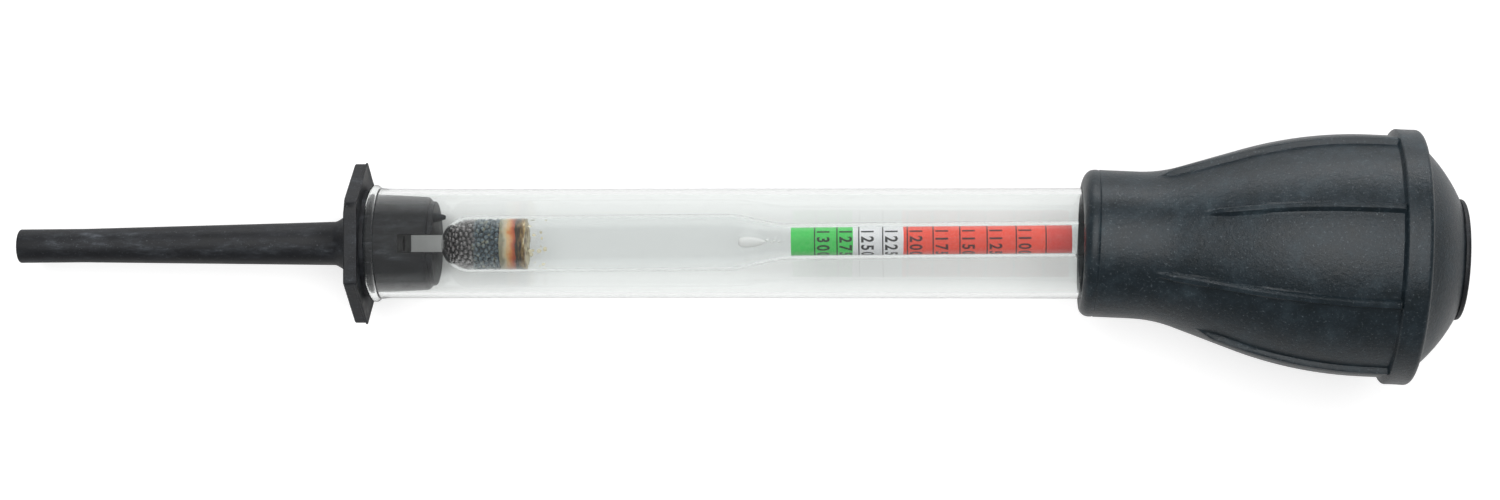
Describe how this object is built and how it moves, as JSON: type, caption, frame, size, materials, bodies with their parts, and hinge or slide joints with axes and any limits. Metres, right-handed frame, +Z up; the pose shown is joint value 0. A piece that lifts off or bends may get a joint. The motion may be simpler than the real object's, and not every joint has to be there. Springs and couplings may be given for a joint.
{
  "type": "battery hydrometer",
  "caption": "Battery hydrometer: rubber squeeze bulb, glass barrel and slotted nozzle, with a loose weighted glass float and a paper scale inside.",
  "frame": {"origin": "on the table under the middle of the instrument as it lies", "axes": "+Z up from the table; +X from the nozzle to the bulb, with the barrel's axis climbing 3.14 degrees towards the bulb; +Y towards the top of the picture"},
  "size_m": [0.2627, 0.046, 0.0461],
  "materials": {
    "hard_rubber": "satin moulded hard rubber, slightly dusty",
    "soft_rubber": "satin moulded soft rubber with a grey bloom",
    "barrel_glass": "clear drawn tube",
    "float_glass": "clear lamp-blown glass",
    "lead": "bright dark lead shot",
    "resin": "clear yellowed resin",
    "red_wax": "old red sealing wax",
    "brown_wax": "cracked brown wax",
    "printed_paper": "matt printed paper, green, white and red bands",
    "glue": "dried white glue"
  },
  "bodies": {
    "barrel": {"barrel": "barrel_glass"},
    "nozzle": {"nozzle": "hard_rubber"},
    "float": {"float_glass": "float_glass", "ballast_shot": "lead", "ballast_resin": "resin", "red_wax_seal": "red_wax", "brown_wax_seal": "brown_wax", "scale_paper": "printed_paper", "scale_glue": "glue"},
    "bulb": {"bulb_moulding": "soft_rubber", "bulb_end_plug": "hard_rubber"},
    "flank_left": {"bulb_flank_left": "soft_rubber"},
    "flank_right": {"bulb_flank_right": "soft_rubber"}
  },
  "joints": [
    {"name": "float_slide", "type": "slide", "parent": "barrel", "child": "float", "axis": [0.9985, 0, 0.0548], "range_m": [0, 0.057]},
    {"name": "nozzle_pull", "type": "slide", "parent": "barrel", "child": "nozzle", "axis": [-0.9985, 0, -0.0548], "range_m": [0, 0.025]},
    {"name": "bulb_pull", "type": "slide", "parent": "barrel", "child": "bulb", "axis": [0.9985, 0, 0.0548], "range_m": [0, 0.03]},
    {"name": "squeeze_left", "type": "slide", "parent": "bulb", "child": "flank_left", "axis": [-0.0453, -0.999, -0.0025], "range_m": [0, 0.008], "stiffness_N_per_m": 600},
    {"name": "squeeze_right", "type": "slide", "parent": "bulb", "child": "flank_right", "axis": [0.0453, 0.999, 0.0025], "range_m": [0, 0.008], "stiffness_N_per_m": 600}
  ],
  "couplings": [
    {"joint": "squeeze_right", "follows": "squeeze_left", "ratio": 1}
  ]
}
